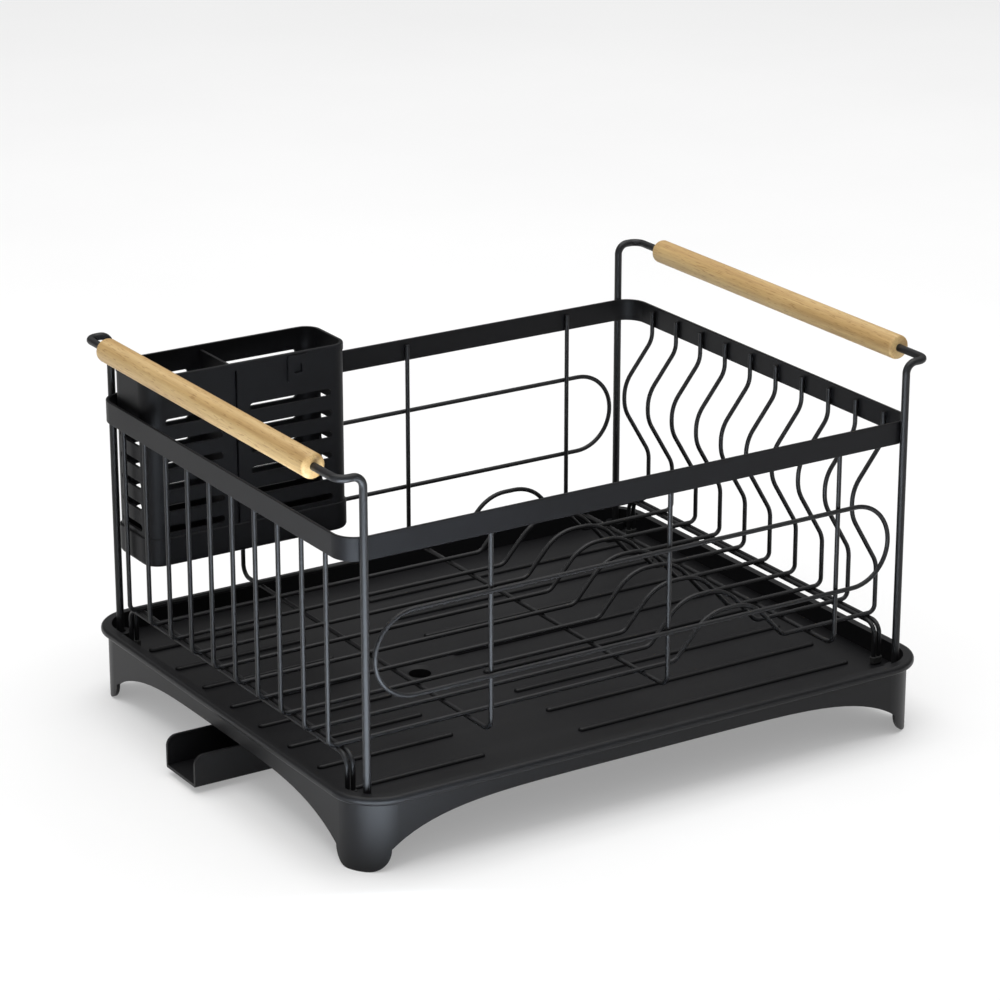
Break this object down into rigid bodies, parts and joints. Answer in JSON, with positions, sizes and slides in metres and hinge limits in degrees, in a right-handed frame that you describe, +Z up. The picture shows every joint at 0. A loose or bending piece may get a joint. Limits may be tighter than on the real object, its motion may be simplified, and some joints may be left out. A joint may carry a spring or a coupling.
{
  "type": "dish drying rack",
  "caption": "Countertop dish rack: black wire basket with wooden carry grips, a ribbed drip tray, a swivelling drain spout and a hang-on cutlery caddy.",
  "frame": {"origin": "on the table, under the middle of the whole footprint, spout included", "axes": "+X along the long side towards the end with the waved wires, +Y towards the back where the caddy hangs, +Z up; the spout leaves towards -X"},
  "size_m": [0.4598, 0.3602, 0.2565],
  "materials": {
    "wire_coating": "satin black powder coat",
    "band_coating": "satin black powder coat",
    "tray_plastic": "moulded black, soft sheen",
    "spout_plastic": "moulded black, soft sheen",
    "ring_plastic": "moulded black",
    "caddy_plastic": "moulded black, soft sheen",
    "cap_rubber": "soft matt",
    "grip_wood": "light oiled wood"
  },
  "bodies": {
    "tray": {"drip_tray": "tray_plastic", "spout_ring": "ring_plastic"},
    "basket": {"rim_band": "band_coating", "rack_wire_01": "wire_coating", "rack_wire_02": "wire_coating", "rack_wire_03": "wire_coating", "rack_wire_04": "wire_coating", "rack_wire_05": "wire_coating", "rack_wire_06": "wire_coating", "rack_wire_07": "wire_coating", "rack_wire_08": "wire_coating", "rack_wire_09": "wire_coating", "rack_wire_10": "wire_coating", "cross_wire_1": "wire_coating", "cross_wire_2": "wire_coating", "cross_wire_3": "wire_coating", "guard_loop_front": "wire_coating", "guard_loop_back": "wire_coating", "foot_runner_left": "wire_coating", "foot_runner_right": "wire_coating", "runner_foot_caps": "cap_rubber", "handle_rod_left": "wire_coating", "handle_rod_right": "wire_coating"},
    "caddy": {"cutlery_caddy": "caddy_plastic"},
    "spout": {"drain_spout": "spout_plastic"},
    "grip_left": {"handle_grip_left": "grip_wood"},
    "grip_right": {"handle_grip_right": "grip_wood"}
  },
  "joints": [
    {"name": "basket_lift", "type": "slide", "parent": "tray", "child": "basket", "axis": [0, 0, 1], "range_m": [0, 0.2]},
    {"name": "caddy_lift", "type": "slide", "parent": "basket", "child": "caddy", "axis": [0, 0, 1], "range_m": [0, 0.15]},
    {"name": "spout_swivel", "type": "hinge", "parent": "tray", "child": "spout", "pos_m": [-0.05394, 0.005, 0.015], "axis": [0, 0, 1], "continuous": true},
    {"name": "grip_left_spin", "type": "hinge", "parent": "basket", "child": "grip_left", "pos_m": [-0.20781, 0, 0.2485], "axis": [0, 1, 0], "continuous": true},
    {"name": "grip_right_spin", "type": "hinge", "parent": "basket", "child": "grip_right", "pos_m": [0.22194, 0, 0.2485], "axis": [0, 1, 0], "continuous": true}
  ]
}
